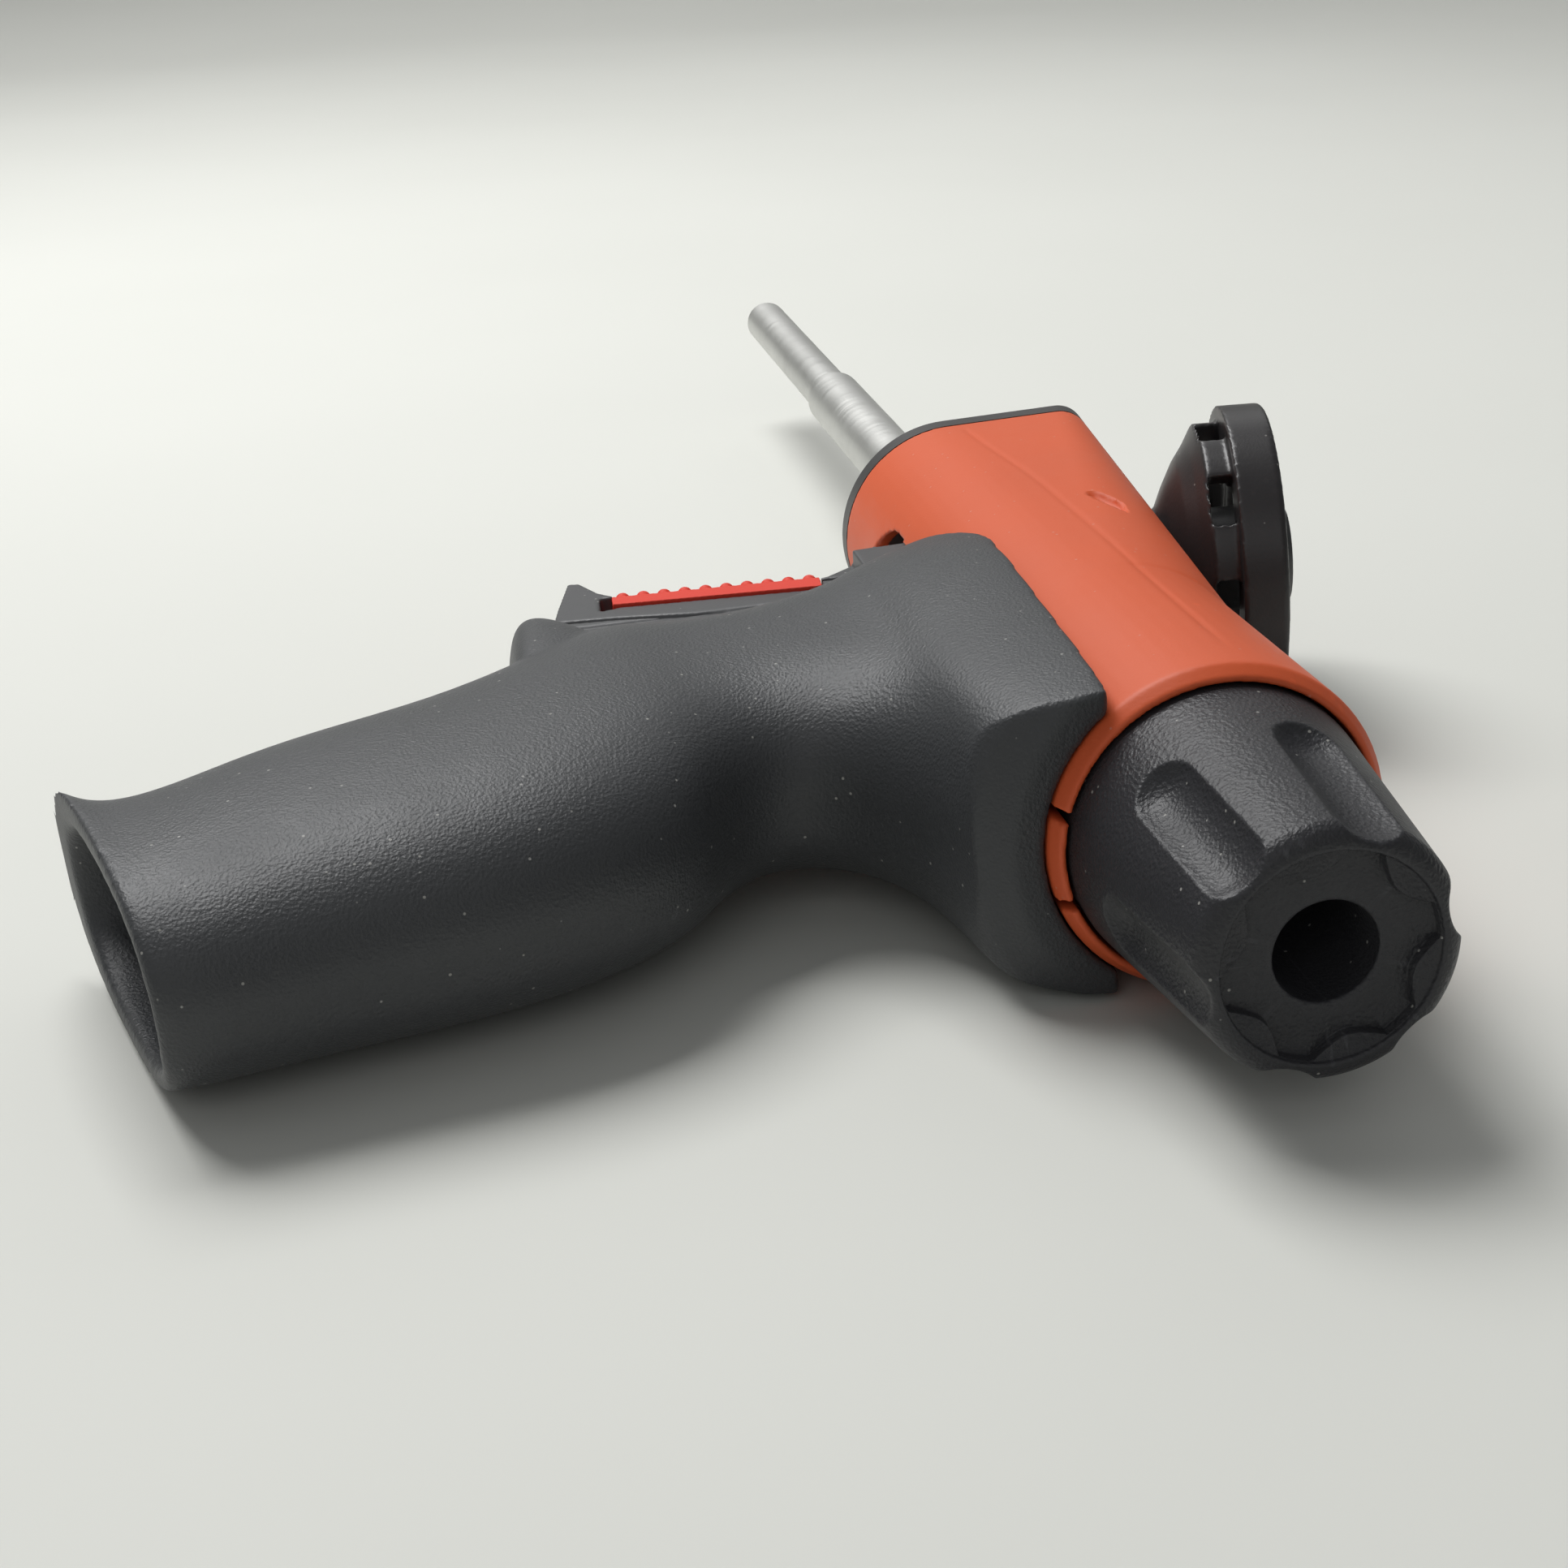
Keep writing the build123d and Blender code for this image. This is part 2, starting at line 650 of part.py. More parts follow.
def make_trigger_pad():
    """Soft insert in the front of the trigger with rows of round nubs."""
    pad = plate(PAD_OUTLINE, -PAD_HALF_WIDTH, PAD_HALF_WIDTH)
    (s0, y0), (s1, y1) = PAD_FACE
    for i in range(NUB_ROWS):
        t = (i + 0.5) / NUB_ROWS
        for z in NUB_COLUMNS:
            pad += Pos(-blend(s0, s1, t), blend(y0, y1, t), z) * Sphere(NUB_RADIUS)
    return pad - plate(PAD_CORE, -PAD_CORE_HALF_WIDTH - 0.02, PAD_CORE_HALF_WIDTH + 0.02)


def make_pivot_pin():
    """Pin that the trigger turns on."""
    s, y = PIVOT
    return cross_bar(s, y, PIVOT_PIN_RADIUS - 0.01, -CHEEK_OUTER - 1, CHEEK_OUTER + 1)


# ---------------------------------------------------------------- grip
def grip_section(s, y, tilt, depth, width, power):
    """Rounded section of the grip: half depth along the gun, half width across it."""
    points = []
    for i in range(SECTION_POINTS):
        angle = 2 * math.pi * i / SECTION_POINTS
        c = math.cos(angle)
        d = math.sin(angle)
        u = depth * math.copysign(abs(c) ** (2 / power), c)
        v = width * math.copysign(abs(d) ** (2 / power), d)
        points.append((u, v))
    lean = math.radians(tilt)
    along = (math.cos(lean), math.sin(lean), 0)
    outward = (math.sin(lean), -math.cos(lean), 0)
    plane = Plane(origin=(-s, y, 0), x_dir=along, z_dir=outward)
    return plane * make_face(Spline(*points, periodic=True))


def grip_loft(stations, shrink):
    """Smooth body through the grip's sections, each made smaller by a wall thickness."""
    sections = [grip_section(s, y, t, a - shrink, b - shrink, n) for s, y, t, a, b, n in stations]
    return loft(sections)


def saddle_shell():
    """Cone that stands a little proud of the housing's rounded underside."""
    stations = (SADDLE_REAR, HOUSING_ROUND, SADDLE_FRONT)
    rim = [(s, housing_half_width(s) + SADDLE_THICKNESS) for s in stations]
    return turned([(SADDLE_REAR, 0), *rim, (SADDLE_FRONT, 0)])


def make_grip():
    """Hollow grip with a saddle that hugs the housing, a finger rest and a flared butt."""
    grip = grip_loft(GRIP_STATIONS, 0) & turned(SADDLE_END)
    grip += saddle_shell()
    grip += grip_loft(REST_STATIONS, 0)
    grip -= plate(ABOVE_SADDLE, -40, 40)
    grip -= housing_outer(HOUSING_GAP, rear=HOUSING_REAR - 2)
    grip -= rod(HOUSING_REAR - 5, HOUSING_REAR + 1, HALF_WIDTH_REAR + HOUSING_GAP)
    grip -= grip_loft(HOLLOW_STATIONS, GRIP_WALL)
    grip -= block(96.5, 133, -73.2, -10, -9.0, 9.0)
    grip -= block(105, 133, -28, -10, -10.9, 10.9)
    grip -= upright(GRIP_SCREW_STATION, 2.7, -40, -10)
    return grip


def make_grip_screw():
    """Screw that holds the grip and the housing to the valve body."""
    head = upright(GRIP_SCREW_STATION, 4.6, SCREW_HEAD_TOP - 3.4, SCREW_HEAD_TOP)
    shank = upright(GRIP_SCREW_STATION, 2.48, SCREW_HEAD_TOP, -10.5)
    socket = upright(GRIP_SCREW_STATION, 2.0, SCREW_HEAD_TOP - 4, SCREW_HEAD_TOP - 1.4)
    return head + shank - socket


# ---------------------------------------------------------------- output
def main():
    parts = {
        "housing_sleeve": make_housing(),
        "front_cap": make_front_cap(),
        "can_adapter": make_adapter(),
        "inlet_stem": make_inlet_stem(),
        "inlet_gasket": make_can_gasket(),
        "check_ball": make_check_ball(),
        "check_spring": make_check_spring(),
        "valve_body": make_valve_body(),
        "barrel_tube": make_barrel_tube(),
        "nozzle_tube": make_nozzle_tube(),
        "needle_rod": make_needle_rod(),
        "needle_tip": make_needle_tip(),
        "needle_collar": make_needle_collar(),
        "needle_spring": make_needle_spring(),
        "spring_seat": make_spring_seat(),
        "packing_rings": make_packing_rings(),
        "gland_nut": make_gland_nut(),
        "knob": make_knob(),
        "adjusting_screw": make_adjusting_screw(),
        "stop_nut": make_stop_nut(),
        "trigger_lever": make_trigger_lever(),
        "trigger_pad": make_trigger_pad(),
        "trigger_pivot_pin": make_pivot_pin(),
        "grip": make_grip(),
        "grip_screw": make_grip_screw(),
    }
    box = Compound(list(parts.values())).bounding_box()
    centre = box.center()
    shift = Pos(-centre.X, -centre.Y, -box.min.Z)
    os.makedirs("parts", exist_ok=True)
    for name, shape in parts.items():
        export_step(shift * shape, f"parts/{name}.step")
    print(f"shift {-centre.X:.4f} {-centre.Y:.4f} {-box.min.Z:.4f}")


main()
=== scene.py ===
"""Looks of a foam dispensing gun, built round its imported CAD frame.

Lengths are in millimetres, except those of the floor sheet and the lights, which are in
metres. Angles are in degrees. Stations are measured forward from the rear rim of the knob,
as in the CAD, and at(s, y, z) turns a station, height and side offset into metres.
"""
import json
import math

import bmesh
import bpy
import numpy as np
from mathutils import Euler, Matrix, Vector


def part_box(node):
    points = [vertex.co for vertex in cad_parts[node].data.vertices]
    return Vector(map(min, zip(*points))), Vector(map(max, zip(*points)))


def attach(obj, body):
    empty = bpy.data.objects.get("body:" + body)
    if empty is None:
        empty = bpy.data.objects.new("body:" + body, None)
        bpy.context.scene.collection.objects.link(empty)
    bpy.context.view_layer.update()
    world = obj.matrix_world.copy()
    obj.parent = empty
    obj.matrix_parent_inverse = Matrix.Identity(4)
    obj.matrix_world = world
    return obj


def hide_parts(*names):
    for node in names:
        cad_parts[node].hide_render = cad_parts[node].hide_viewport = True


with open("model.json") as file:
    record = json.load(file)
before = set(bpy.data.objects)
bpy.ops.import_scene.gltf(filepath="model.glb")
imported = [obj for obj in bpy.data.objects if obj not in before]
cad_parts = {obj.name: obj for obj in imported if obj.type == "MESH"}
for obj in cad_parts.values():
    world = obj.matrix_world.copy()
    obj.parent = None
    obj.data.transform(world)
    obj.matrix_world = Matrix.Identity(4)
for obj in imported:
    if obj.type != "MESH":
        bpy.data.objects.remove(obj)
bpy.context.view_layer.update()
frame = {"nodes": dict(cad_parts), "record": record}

MM = 0.001
NODES = frame["nodes"]
BARREL_LOW, BARREL_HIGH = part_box("nozzle_tube")
AXIS_Y = (BARREL_LOW[1] + BARREL_HIGH[1]) / 2
AXIS_Z = (BARREL_LOW[2] + BARREL_HIGH[2]) / 2
REAR_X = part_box("knob")[1][0]

# Camera: its station, height and side offset, its angles, and its lens.
CAMERA_PLACE = (-218.63, -90.41, 125.42)
CAMERA_ANGLES = (66.630, 5.091, 79.276)
CAMERA_LENS = 55.6
CAMERA_SENSOR = 36.0
CAMERA_CLIP_METRES = (0.01, 20.0)

# Floor: height under the barrel axis at the knob, and its slopes along X and Y.
FLOOR_DROP = -21.6
FLOOR_SLOPE_X = 0.0065
FLOOR_SLOPE_Y = -0.0485
FLOOR_MIDDLE = 150.0
# Sheet in metres: pairs of distance ahead of the middle and rise, and half its width.
FLOOR_PROFILE = [(-1.6, 0.0), (1.2, 0.0), (1.5, 0.02), (1.8, 0.12), (2.1, 0.35), (2.3, 0.75), (2.4, 1.8)]
FLOOR_HALF_WIDTH = 2.5
FLOOR_COLOURS = ((0.74, 0.745, 0.70), (0.71, 0.715, 0.67))

# Lights, in metres from a middle point: name, place, aim, size, and power in watts.
LIGHT_MIDDLE = 120.0
LIGHTS = (
    ("key", (-0.52, -0.3, 1.02), (0.0, 0.0, 0.0), (0.75, 0.65), 13.6),
    ("back_wash", (-1.5, 0.2, 1.0), (-0.9, 0.1, 0.0), (2.2, 0.9), 4.5),
    ("front_fill", (1.3, -0.4, 0.9), (0.0, 0.0, 0.0), (1.2, 0.8), 2.2),
)
WORLD_COLOUR = (0.97, 0.99, 1.0)
WORLD_STRENGTH = 0.19

# Knob.
KNOB_COLUMNS = 480
CONE_REAR = 15.4
CONE_FRONT = 19.0
CONE_LENGTH = 34.0
CONE_ROWS = 150
SKIRT_FRONT = 42.0
SKIRT_INNER = 16.2
SKIRT_EDGE = 0.3
RIM_ROUND = 2.4
RIM_ROWS = 14
RIM_POWER = 0.9
RECESS_EDGE = 12.9
RECESS_DEPTH = 1.8
LENS_DEPTH = 0.5
LENS_BULGE = 2.5
LENS_HALF_ANGLE = 20.5
FLUTES = 6
FLUTE_PHASE = 41.0
FLUTE_RADIUS = 5.2
FLUTE_DEPTH = 2.0
FLUTE_SPAN = (3.4, 21.0)
FLUTE_SOFTNESS = 0.1
KNOB_BORE = 6.1
KNOB_BORE_DEPTH = 22.0
SCREW_HOLE = 4.0
HUB_RADIUS = 9.0
HUB_REAR = 8.0
HUB_FRONT = 30.0
SHELL_INNER = 12.0
KNOB_CREASE = 50

# Remeshed pieces: voxel size and smoothing passes.
GRIP_MESH = (0.5, 5)
HOUSING_MESH = (0.4, 3)
ADAPTER_MESH = (0.35, 2)
LEVER_MESH = (0.3, 3)
PAD_MESH = (0.18, 2)

# Grip's butt.
BUTT_STATION = 57.0
BUTT_HEIGHT = -133.9
BUTT_TILT = 15.2
BUTT_LIP = 5.0
BUTT_PASSES = 26

# Housing's parting line and dimple.
HALF_WIDTH_STATIONS = (34.0, 78.0, 167.4)
HALF_WIDTHS = (21.4, 20.7, 18.5)
PARTING_HEIGHT = 4.0
PARTING_DROP = 1.9
PARTING_WIDTH = 0.5
PARTING_DEPTH = 0.16
PARTING_FALL = (120.0, 160.0)
PARTING_REAR = (40.0, 52.0)
PARTING_FRONT = (158.0, 162.0)
OUTER_SKIN = 1.0
DIMPLE_MIDDLE = (108.2, 10.8)
DIMPLE_ANGLE = 19.0
DIMPLE_SIZE = (5.8, 1.6)
DIMPLE_DEPTH = 1.4

# Trigger.
GAP_LINE = [(117.2, -34.0), (116.9, -42.0), (118.4, -50.2), (121.6, -62.0), (123.6, -73.0)]
GAP_WIDTH = 0.8
PAD_BASE = [(122.2, -30.6), (126.2, -30.2), (130.9, -61.6), (127.4, -61.85)]
PAD_CORE = [(118.0, -27.0), (125.4, -27.0), (130.3, -63.5), (120.0, -63.5)]
PAD_HALF_WIDTH = 8.4
PAD_CORE_HALF_WIDTH = 5.02
NUB_ROWS = 10
NUB_COLUMNS = (-7.2, -4.3, -1.45, 1.45, 4.3, 7.2)
NUB_RADIUS = 1.2
NUB_RISES = (0.2, 1.45)
LOWER_SLOT = [(126.8, -61.4), (132.2, -61.1), (132.2, -63.3), (126.4, -63.9)]
UPPER_SLOT = [(126.7, -30.8), (125.3, -24.0), (124.5, -24.1), (125.9, -30.8)]
MARK_MIDDLE = (117.0, -61.9)
MARK_RADIUS = 1.9
MARK_DEPTH = 0.35
MARK_EDGE = 0.3
LEVER_FACE = 7.4
CUTTER_REACH = 9.0
LOWER_SLOT_FLOOR = 5.5
UPPER_SLOT_FLOOR = 6.5
GAP_FLOOR = 7.2


# ---------------------------------------------------------------- helpers
def at(s, y, z=0.0):
    """Point at a station, height and side offset, in metres in the row frame."""
    return Vector((REAR_X - s * MM, AXIS_Y + y * MM, AXIS_Z + z * MM))


def link(obj):
    """Put an object in the scene."""
    bpy.context.scene.collection.objects.link(obj)
    return obj


def new_object(name, vertices, faces, smooth=True):
    """Mesh object made from vertex and face lists."""
    mesh = bpy.data.meshes.new(name)
    mesh.from_pydata([tuple(v) for v in vertices], [], faces)
    mesh.validate()
    for polygon in mesh.polygons:
        polygon.use_smooth = smooth
    return link(bpy.data.objects.new(name, mesh))


def smoothstep(low, high, value):
    """Smooth rise from 0 at the low value to 1 at the high one."""
    t = np.clip((value - low) / (high - low), 0.0, 1.0)
    return t * t * (3 - 2 * t)


def sharpen_normals(obj, degrees):
    """Smooth shading that keeps edges sharper than the angle."""
    bm = bmesh.new()
    bm.from_mesh(obj.data)
    limit = math.radians(degrees)
    for edge in bm.edges:
        edge.smooth = len(edge.link_faces) != 2 or edge.calc_face_angle(0) < limit
    bm.to_mesh(obj.data)
    bm.free()


def freeze(obj):
    """Turn an object's modifiers into its mesh."""
    graph = bpy.context.evaluated_depsgraph_get()
    obj.data = bpy.data.meshes.new_from_object(obj.evaluated_get(graph))
    obj.modifiers.clear()
    for polygon in obj.data.polygons:
        polygon.use_smooth = True


def add_smooth(obj, passes, group=""):
    """Smooth modifier over a whole object or one of its vertex groups."""
    smooth = obj.modifiers.new("smooth", "SMOOTH")
    smooth.factor = 0.5
    smooth.iterations = passes
    smooth.vertex_group = group


def add_remesh(obj, voxel):
    """Voxel remesh modifier."""
    remesh = obj.modifiers.new("remesh", "REMESH")
    remesh.mode = "VOXEL"
    remesh.voxel_size = voxel * MM


def add_cut(obj, cutter):
    """Modifier that takes the cutter out of the object."""
    cut = obj.modifiers.new("cut", "BOOLEAN")
    cut.operation = "DIFFERENCE"
    cut.object = cutter


def softened(name, node, voxel, passes, cutters=()):
    """Finely remeshed and smoothed copy of a CAD node, so that its edges are rounded."""
    mesh = NODES[node].data.copy()
    bm = bmesh.new()
    bm.from_mesh(mesh)
    bmesh.ops.remove_doubles(bm, verts=bm.verts, dist=1e-6)
    bm.to_mesh(mesh)
    bm.free()
    obj = link(bpy.data.objects.new(name, mesh))
    for cutter in cutters:
        add_cut(obj, cutter)
    add_remesh(obj, voxel)
    add_smooth(obj, passes)
    freeze(obj)
    for cutter in cutters:
        bpy.data.objects.remove(cutter)
    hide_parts(node)
    return obj


def soften_where(obj, mask, passes):
    """Smooth only the vertices that the mask picks."""
    group = obj.vertex_groups.new(name="soft")
    group.add([int(i) for i in np.nonzero(mask)[0]], 1.0, "REPLACE")
    add_smooth(obj, passes, "soft")
    freeze(obj)
    obj.vertex_groups.clear()


def prism(outline, z0, z1):
    """Closed prism with an outline of (station, height) pairs between two side offsets."""
    count = len(outline)
    vertices = [at(s, y, z) for z in (z0, z1) for s, y in outline]
    faces = [tuple(range(count)), tuple(range(2 * count - 1, count - 1, -1))]
    for i in range(count):
        k = (i + 1) % count
        faces.append((i, i + count, k + count, k))
    obj = new_object("cutter", vertices, faces, smooth=False)
    fix_normals(obj)
    return obj


def fix_normals(obj):
    """Turn every face outwards."""
    bm = bmesh.new()
    bm.from_mesh(obj.data)
    bmesh.ops.recalc_face_normals(bm, faces=bm.faces)
    bm.to_mesh(obj.data)
    bm.free()


def coordinates(obj):
    """Vertex positions as stations, heights and side offsets in millimetres."""
    flat = np.empty(len(obj.data.vertices) * 3)
    obj.data.vertices.foreach_get("co", flat)
    p = flat.reshape(-1, 3)
    return (REAR_X - p[:, 0]) / MM, (p[:, 1] - AXIS_Y) / MM, (p[:, 2] - AXIS_Z) / MM


def place(obj, s, y, z):
    """Write positions given as stations, heights and side offsets back to the mesh."""
    p = np.stack([REAR_X - s * MM, AXIS_Y + y * MM, AXIS_Z + z * MM], axis=1)
    obj.data.vertices.foreach_set("co", p.ravel())
    obj.data.update()


# ---------------------------------------------------------------- materials
# Moulded plastics by slot: colour, roughness, grain in cells per metre, grain depth, and then,
# where they differ from the usual, dust, lightening where worn, and specular level.
MOULDED = {
    "housing_red": ((0.66, 0.108, 0.034), 0.48, 2600.0, 0.012, 0.25, 1.12, 0.3),
    "cap_black": ((0.035, 0.033, 0.034), 0.42, 2400.0, 0.02),
    "adapter_black": ((0.022, 0.020, 0.021), 0.36, 2400.0, 0.012, 0.3),
    "inlet_black": ((0.022, 0.022, 0.023), 0.4, 2400.0, 0.012),
    "grip_black": ((0.046, 0.048, 0.051), 0.46, 2300.0, 0.10, 0.5, 1.5, 0.42),
    "knob_black": ((0.028, 0.028, 0.031), 0.42, 2000.0, 0.12, 0.5, 1.9, 0.35),
    "trigger_black": ((0.060, 0.061, 0.064), 0.45, 2600.0, 0.015, 0.4),
    "pad_red": ((0.72, 0.05, 0.028), 0.55, 2600.0, 0.02, 0.0, 1.1, 0.25),
    "seal": ((0.02, 0.02, 0.02), 0.6, 2000.0, 0.01),
    "packing": ((0.8, 0.8, 0.76), 0.35, 1800.0, 0.01, 0.0, 1.05),
}
# Metals by slot: colour, roughness, tool marks in cells per metre, their depth, and whether
# they run round the barrel axis, which is the usual.
METALS = {
    "barrel_steel": ((0.66, 0.66, 0.64), 0.42, 2500.0, 0.006),
    "steel_rod": ((0.62, 0.62, 0.62), 0.25, 2500.0, 0.004),
    "steel": ((0.70, 0.70, 0.71), 0.12, 1500.0, 0.001),
    "spring_steel": ((0.55, 0.55, 0.56), 0.3, 1500.0, 0.004, False),
    "brass": ((0.76, 0.55, 0.24), 0.28, 2500.0, 0.006),
    "cast_grey": ((0.42, 0.43, 0.44), 0.5, 900.0, 0.03),
}
PATCH_SCALE = 28.0
WORN_SHARE = 0.18
WORN_EDGES = (0.52, 0.60)
EDGE_WEAR = 0.7
SPECK_SCALE = 330.0
SPECK_RADII = (0.045, 0.075)
SPECK_COLOUR = (0.55, 0.54, 0.5)
PIT_SCALE = 0.9
PIT_WEIGHT = 0.55
RUB_SCALE = 55.0
RING_MARKS = (1.0, 0.04, 0.04)
LENGTHWAYS_MARKS = (0.03, 1.0, 1.0)
METAL_PATCH_SCALE = 60.0
METAL_PATCH_SHADE = 0.86


class Shader:
    """Short way to build a node material around one Principled shader."""

    def __init__(self, name):
        self.material = bpy.data.materials.new(name)
        self.material.use_nodes = True
        self.tree = self.material.node_tree
        self.principled = self.tree.nodes["Principled BSDF"]
        self.space = self.add("ShaderNodeTexCoord").outputs["Object"]

    def add(self, kind, **values):
        """New node with the given properties."""
        node = self.tree.nodes.new(kind)
        for key, value in values.items():
            setattr(node, key, value)
        return node

    def set(self, socket, value):
        """Fixed value of a Principled input."""
        self.principled.inputs[socket].default_value = value

    def join(self, source, target):
        """Link from an output to an input."""
        self.tree.links.new(source, target)

    def noise(self, scale, detail=3.0, roughness=0.55, stretch=None):
        """Noise value, with its scale in cells per metre."""
        node = self.add("ShaderNodeTexNoise")
        node.inputs["Scale"].default_value = scale
        node.inputs["Detail"].default_value = detail
        node.inputs["Roughness"].default_value = roughness
        source = self.space
        if stretch:
            mapping = self.add("ShaderNodeMapping")
            mapping.inputs["Scale"].default_value = stretch
            self.join(self.space, mapping.inputs["Vector"])
            source = mapping.outputs["Vector"]
        self.join(source, node.inputs["Vector"])
        return node.outputs["Fac"]

    def cells(self, scale):
        """Distance to the nearest cell centre, with its scale in cells per metre."""
        node = self.add("ShaderNodeTexVoronoi")
        node.inputs["Scale"].default_value = scale
        self.join(self.space, node.inputs["Vector"])
        return node.outputs["Distance"]

    def remap(self, value, low, high, out_low, out_high):
        """Value moved from one range to another and clamped to it."""
        node = self.add("ShaderNodeMapRange")
        node.inputs["From Min"].default_value = low
        node.inputs["From Max"].default_value = high
        node.inputs["To Min"].default_value = out_low
        node.inputs["To Max"].default_value = out_high
        self.join(value, node.inputs["Value"])
        return node.outputs["Result"]

    def mix(self, factor, first, second):
        """Colour mixed from two colours or colour sockets by a factor socket."""
        node = self.add("ShaderNodeMix", data_type="RGBA")
        self.join(factor, node.inputs["Factor"])
        for value, socket in ((first, node.inputs["A"]), (second, node.inputs["B"])):
            if isinstance(value, tuple):
                socket.default_value = (*value, 1.0)
            else:
                self.join(value, socket)
        return node.outputs["Result"]

    def sum(self, first, second, weight):
        """First plus weight times second."""
        node = self.add("ShaderNodeMath", operation="MULTIPLY_ADD")
        self.join(second, node.inputs[0])
        node.inputs[1].default_value = weight
        self.join(first, node.inputs[2])
        return node.outputs["Value"]

    def bump(self, height, depth):
        """Bump from a height socket, its depth in millimetres."""
        node = self.add("ShaderNodeBump")
        node.inputs["Distance"].default_value = depth * MM
        self.join(height, node.inputs["Height"])
        self.join(node.outputs["Normal"], self.principled.inputs["Normal"])


def moulded(name, colour, roughness, grain, grain_depth, dust=0.0, worn=1.25, specular=0.5):
    """Moulded plastic: spark-eroded grain, patchy tone, rubbed edges and a little dust."""
    sh = Shader(name)
    sh.set("Specular IOR Level", specular)
    tone = sh.remap(sh.noise(PATCH_SCALE, 4.0), 0.35, 0.7, 0.0, 1.0)
    light = tuple(min(1.0, c * worn) for c in colour)
    patch = tuple(c * (1 - WORN_SHARE) + w * WORN_SHARE for c, w in zip(colour, light))
    base = sh.mix(tone, colour, patch)
    edges = sh.add("ShaderNodeNewGeometry").outputs["Pointiness"]
    base = sh.mix(sh.remap(edges, *WORN_EDGES, 0.0, EDGE_WEAR), base, light)
    if dust:
        specks = sh.remap(sh.cells(SPECK_SCALE), *SPECK_RADII, dust, 0.0)
        base = sh.mix(specks, base, SPECK_COLOUR)
    sh.join(base, sh.principled.inputs["Base Color"])
    fine = sh.noise(grain, 2.0, 0.6)
    pits = sh.cells(grain * PIT_SCALE)
    grained = sh.sum(fine, pits, PIT_WEIGHT)
    rub = sh.remap(sh.noise(RUB_SCALE, 3.0), 0.3, 0.75, roughness - 0.05, roughness + 0.07)
    sh.join(rub, sh.principled.inputs["Roughness"])
    sh.bump(grained, grain_depth)
    return sh.material


def metal(name, colour, roughness, streak, depth, turned=True):
    """Metal with fine tool marks: rings round the barrel axis, or lines along it."""
    sh = Shader(name)
    sh.set("Metallic", 1.0)
    marks = sh.noise(streak, 3.0, 0.6, RING_MARKS if turned else LENGTHWAYS_MARKS)
    tone = sh.remap(sh.noise(METAL_PATCH_SCALE, 4.0), 0.3, 0.7, 0.0, 1.0)
    base = sh.mix(tone, colour, tuple(c * METAL_PATCH_SHADE for c in colour))
    sh.join(base, sh.principled.inputs["Base Color"])
    spread = sh.remap(marks, 0.3, 0.7, roughness - 0.06, roughness + 0.1)
    sh.join(spread, sh.principled.inputs["Roughness"])
    sh.bump(marks, depth)
    return sh.material


def make_materials():
    """Every material, by its slot's name."""
    materials = {name: moulded(name, *values) for name, values in MOULDED.items()}
    materials.update({name: metal(name, *values) for name, values in METALS.items()})
    return materials


def paint(obj, material):
    """Give an object one material."""
    obj.data.materials.clear()
    obj.data.materials.append(material)


# ---------------------------------------------------------------- knob
def flute_cut(s, theta, radius):
    """How deep the flutes cut below the cone at a station and angle."""
    step = 2 * math.pi / FLUTES
    offset = (theta - math.radians(FLUTE_PHASE) + step / 2) % step - step / 2
    across = radius * np.sin(offset)
    low, high = FLUTE_SPAN
    along = max(0.0, s - high, low - s)
    distance = np.sqrt(across**2 + along**2)
    trough = np.sqrt(np.clip(FLUTE_RADIUS**2 - distance**2, 0.0, None))
    depth = FLUTE_DEPTH - (FLUTE_RADIUS - trough)
    return 0.5 * (depth + np.sqrt(depth**2 + FLUTE_SOFTNESS**2))


def lens_radius(theta):
    """Radius of the recess's wall, which bulges inwards behind each rib."""
    step = 2 * math.pi / FLUTES
    offset = (theta - math.radians(FLUTE_PHASE)) % step - step / 2
    t = np.clip(1 - (np.degrees(offset) / LENS_HALF_ANGLE) ** 2, 0.0, 1.0)
    return RECESS_EDGE - 0.3 - LENS_BULGE * t


def cone_radius(s):
    """Radius of the knob's cone at a station."""
    return CONE_REAR + (CONE_FRONT - CONE_REAR) * s / CONE_LENGTH


def outer_rows(theta):
    """Stations and radii over the skirt, the fluted cone and the rounded rim."""
    ones = np.ones_like(theta)
    rows = [(SKIRT_FRONT, SKIRT_INNER * ones), (SKIRT_FRONT, (CONE_FRONT - SKIRT_EDGE) * ones)]
    rows += [(SKIRT_FRONT - SKIRT_EDGE, CONE_FRONT * ones), (CONE_LENGTH, CONE_FRONT * ones)]
    for s in np.linspace(CONE_LENGTH - SKIRT_EDGE, RIM_ROUND, CONE_ROWS):
        rows.append((s, cone_radius(s) - flute_cut(s, theta, cone_radius(s))))
    for turn in np.linspace(0, math.pi / 2, RIM_ROWS)[1:]:
        s = RIM_ROUND * (1 - math.sin(turn))
        outer = cone_radius(s) - flute_cut(s, theta, cone_radius(s))
        rows.append((s, RECESS_EDGE + (outer - RECESS_EDGE) * math.cos(turn) ** RIM_POWER))
    return rows


